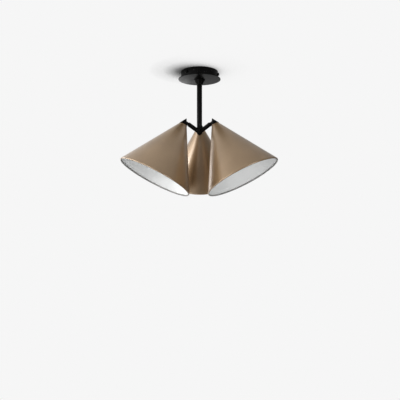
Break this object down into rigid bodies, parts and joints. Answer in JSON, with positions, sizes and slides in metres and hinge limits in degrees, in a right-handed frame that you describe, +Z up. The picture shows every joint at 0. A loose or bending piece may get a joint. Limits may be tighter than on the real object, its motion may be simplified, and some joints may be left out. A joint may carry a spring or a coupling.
{
  "type": "ceiling light",
  "caption": "Ceiling light with a round rose, a straight stem and a hub whose rising arms each carry a swivelling cone shade with a rolled rim.",
  "frame": {"origin": "centre of the rose on the ceiling, at the middle of the two slotted screw holes, on the bracket's top face", "axes": "+Z up out of the bracket into the ceiling; +X along the line of the two slotted screw holes; +Y along the back arm, away from the picture's viewer"},
  "size_m": [0.4262, 0.3977, 0.3527],
  "materials": {
    "black_paint": "satin",
    "bronze_paint": "satin",
    "zinc_steel": "satin",
    "black_steel": "satin",
    "brass": "satin",
    "nickel": "satin",
    "white_plastic": "satin",
    "opal_glass": "satin"
  },
  "bodies": {
    "ceiling_frame": {"canopy_cup": "black_paint", "canopy_plate": "black_paint", "ceiling_bracket": "zinc_steel", "canopy_thumb_screws": "black_paint", "earth_washer": "zinc_steel", "earth_screw": "brass", "connector_block": "white_plastic", "connector_clamp_screws": "brass", "connector_fixing_screw": "zinc_steel", "stem_tube": "black_paint", "stem_collar": "black_paint", "stem_washer": "zinc_steel", "stem_nut": "zinc_steel", "stem_nipple": "zinc_steel", "hub": "black_paint", "hub_finial": "black_paint", "arm_grub_screws": "black_steel", "back_arm": "black_paint", "left_arm": "black_paint", "right_arm": "black_paint"},
    "back_lamp": {"back_spindle": "black_paint", "back_cap": "black_paint", "back_shade": "bronze_paint", "back_shade_washer": "zinc_steel", "back_shade_nut": "zinc_steel", "back_lampholder": "white_plastic", "back_socket_shell": "brass", "back_bulb_cap": "nickel", "back_bulb_globe": "opal_glass"},
    "left_lamp": {"left_spindle": "black_paint", "left_cap": "black_paint", "left_shade": "bronze_paint", "left_shade_washer": "zinc_steel", "left_shade_nut": "zinc_steel", "left_lampholder": "white_plastic", "left_socket_shell": "brass", "left_bulb_cap": "nickel", "left_bulb_globe": "opal_glass"},
    "right_lamp": {"right_spindle": "black_paint", "right_cap": "black_paint", "right_shade": "bronze_paint", "right_shade_washer": "zinc_steel", "right_shade_nut": "zinc_steel", "right_lampholder": "white_plastic", "right_socket_shell": "brass", "right_bulb_cap": "nickel", "right_bulb_globe": "opal_glass"}
  },
  "joints": [
    {"name": "back_swivel", "type": "hinge", "parent": "ceiling_frame", "child": "back_lamp", "pos_m": [0, 0, -0.1694], "axis": [0, 0.866, 0.5], "range_deg": [-10, 10]},
    {"name": "left_swivel", "type": "hinge", "parent": "ceiling_frame", "child": "left_lamp", "pos_m": [0, 0, -0.1694], "axis": [-0.75, -0.433, 0.5], "range_deg": [-10, 10]},
    {"name": "right_swivel", "type": "hinge", "parent": "ceiling_frame", "child": "right_lamp", "pos_m": [0, 0, -0.1694], "axis": [0.75, -0.433, 0.5], "range_deg": [-10, 10]}
  ]
}
